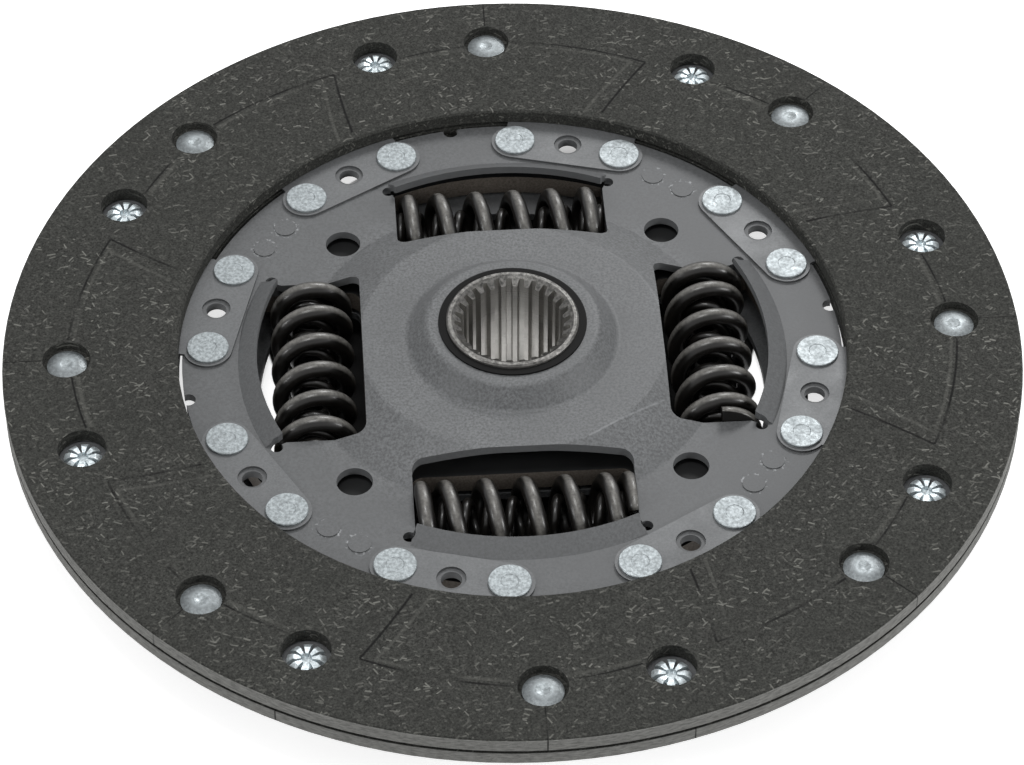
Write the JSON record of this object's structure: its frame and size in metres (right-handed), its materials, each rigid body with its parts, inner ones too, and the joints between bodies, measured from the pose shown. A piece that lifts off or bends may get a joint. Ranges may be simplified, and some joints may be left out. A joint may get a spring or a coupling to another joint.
{
  "type": "clutch disc",
  "caption": "Round friction disc with riveted facings, coil-spring torsion damper and a splined hub, for a dry single-plate clutch.",
  "frame": {"origin": "on the hub's axis, at the middle plane of the cushion segments between the two facings", "axes": "+Z along the hub's axis towards the front facing and the hub's longer-showing front end; +X through the middle of one spring window"},
  "size_m": [0.228, 0.228, 0.0282],
  "materials": {
    "facing_compound": "moulded friction facing, dark grey with short pale fibres, ground flat",
    "segment_steel": "cold-rolled spring steel, dull",
    "rivet_zinc": "zinc-plated, bluish white",
    "plate_steel": "phosphated sheet steel, dark grey",
    "hub_steel": "turned and broached bare steel",
    "spring_steel": "shot-peened and oiled, black-brown, glossy",
    "bush_plastic": "glass-filled plastic",
    "ring_steel": "pressed steel"
  },
  "bodies": {
    "plates": {"front_facing": "facing_compound", "rear_facing": "facing_compound", "front_facing_rivets": "rivet_zinc", "rear_facing_rivets": "rivet_zinc", "segment_rivets": "rivet_zinc", "drive_plate": "plate_steel", "counter_plate": "plate_steel", "front_bush": "bush_plastic", "rear_bush": "bush_plastic", "front_friction_ring": "bush_plastic", "pressure_ring": "ring_steel", "disc_spring": "ring_steel", "cushion_segment_1": "segment_steel", "cushion_segment_2": "segment_steel", "cushion_segment_3": "segment_steel", "cushion_segment_4": "segment_steel", "cushion_segment_5": "segment_steel", "cushion_segment_6": "segment_steel", "cushion_segment_7": "segment_steel", "cushion_segment_8": "segment_steel"},
    "hub": {"hub": "hub_steel", "hub_flange": "plate_steel"},
    "springs": {"damper_spring_1": "spring_steel", "inner_spring_1": "spring_steel", "damper_spring_2": "spring_steel", "inner_spring_2": "spring_steel", "damper_spring_3": "spring_steel", "inner_spring_3": "spring_steel", "damper_spring_4": "spring_steel", "inner_spring_4": "spring_steel"}
  },
  "joints": [
    {"name": "hub_twist", "type": "hinge", "parent": "plates", "child": "hub", "pos_m": [0, 0, 0], "axis": [0, 0, 1], "range_deg": [-8, 8], "stiffness_Nm_per_rad": 20, "deforming": ["damper_spring_1", "inner_spring_1", "damper_spring_2", "inner_spring_2", "damper_spring_3", "inner_spring_3", "damper_spring_4", "inner_spring_4"]},
    {"name": "spring_follow", "type": "hinge", "parent": "plates", "child": "springs", "pos_m": [0, 0, 0], "axis": [0, 0, 1], "range_deg": [-4, 4], "deforming": ["damper_spring_1", "inner_spring_1", "damper_spring_2", "inner_spring_2", "damper_spring_3", "inner_spring_3", "damper_spring_4", "inner_spring_4"]}
  ],
  "couplings": [
    {"joint": "spring_follow", "follows": "hub_twist", "ratio": 0.5}
  ]
}
